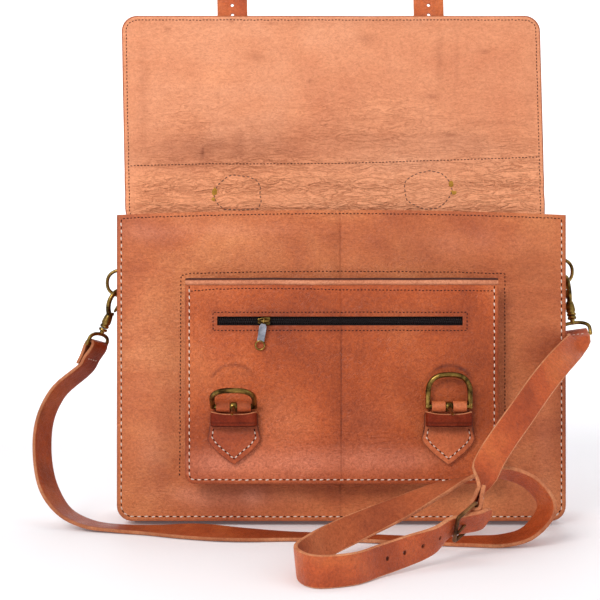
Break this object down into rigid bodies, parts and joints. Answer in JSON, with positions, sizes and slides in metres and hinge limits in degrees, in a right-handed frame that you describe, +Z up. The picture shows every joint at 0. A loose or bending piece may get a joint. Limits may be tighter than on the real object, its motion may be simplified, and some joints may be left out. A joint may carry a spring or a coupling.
{
  "type": "leather satchel",
  "caption": "Tan leather satchel standing with its flap open, with a zipped box pocket, two loose buckles, snap hooks on D-rings and a shoulder strap.",
  "frame": {"origin": "middle of the base, on the surface the bag stands on", "axes": "+Z up, +X to the right seen from the front, +Y towards the back, so the front faces -Y"},
  "size_m": [0.4819, 0.3478, 0.5391],
  "materials": {
    "panel": "satin",
    "pocket": "satin",
    "lining": "matt",
    "strap": "satin",
    "keeper": "satin",
    "tab": "satin",
    "zip": "matt",
    "brass": "antiqued",
    "steel": "satin"
  },
  "bodies": {
    "bag": {"front_panel": "panel", "gusset": "panel", "back_flap": "panel", "flap_lining": "lining", "flap_strap_left": "strap", "flap_strap_right": "strap", "handle": "strap", "pocket_front": "pocket", "pocket_gusset": "pocket", "zip_tape": "zip", "zip_slider": "steel", "buckle_tab_left": "tab", "buckle_tab_right": "tab", "keeper_left": "keeper", "keeper_right": "keeper", "ring_tab_left": "strap", "ring_tab_right": "strap", "d_ring_left": "brass", "d_ring_right": "brass", "hook_left": "brass", "hook_right": "brass", "swivel_eye_left": "brass", "swivel_eye_right": "brass", "strap_long": "strap", "strap_short": "strap", "strap_buckle": "brass", "strap_prong": "brass"},
    "frame_left": {"buckle_frame_left": "brass"},
    "frame_right": {"buckle_frame_right": "brass"},
    "prong_left": {"buckle_prong_left": "brass"},
    "prong_right": {"buckle_prong_right": "brass"},
    "pull": {"zip_pull": "steel"},
    "gate_left": {"hook_gate_left": "brass"},
    "gate_right": {"hook_gate_right": "brass"}
  },
  "joints": [
    {"name": "frame_left_swing", "type": "hinge", "parent": "bag", "child": "frame_left", "pos_m": [-0.0894, -0.06963, 0.1035], "axis": [1, 0, 0], "range_deg": [-54, 30]},
    {"name": "frame_right_swing", "type": "hinge", "parent": "bag", "child": "frame_right", "pos_m": [0.0873, -0.06966, 0.1035], "axis": [1, 0, 0], "range_deg": [-4, 80]},
    {"name": "prong_left_swing", "type": "hinge", "parent": "bag", "child": "prong_left", "pos_m": [-0.0894, -0.06963, 0.1035], "axis": [1, 0, 0], "range_deg": [-30, 10]},
    {"name": "prong_right_swing", "type": "hinge", "parent": "bag", "child": "prong_right", "pos_m": [0.0873, -0.06966, 0.1035], "axis": [1, 0, 0], "range_deg": [-74, 10]},
    {"name": "pull_swing", "type": "hinge", "parent": "bag", "child": "pull", "pos_m": [-0.0647, -0.07046, 0.1737], "axis": [-1, 0, 0], "range_deg": [0, 150]},
    {"name": "gate_left_open", "type": "hinge", "parent": "bag", "child": "gate_left", "pos_m": [-0.19922, 0.0039, 0.17966], "axis": [0.7768, -0.5308, -0.3389], "range_deg": [0, 30], "stiffness_Nm_per_rad": 0.02, "springref_deg": -17.19},
    {"name": "gate_right_open", "type": "hinge", "parent": "bag", "child": "gate_right", "pos_m": [0.20092, 0.0003, 0.19053], "axis": [0.9937, -0.022, 0.11], "range_deg": [0, 30], "stiffness_Nm_per_rad": 0.02, "springref_deg": -17.19}
  ]
}
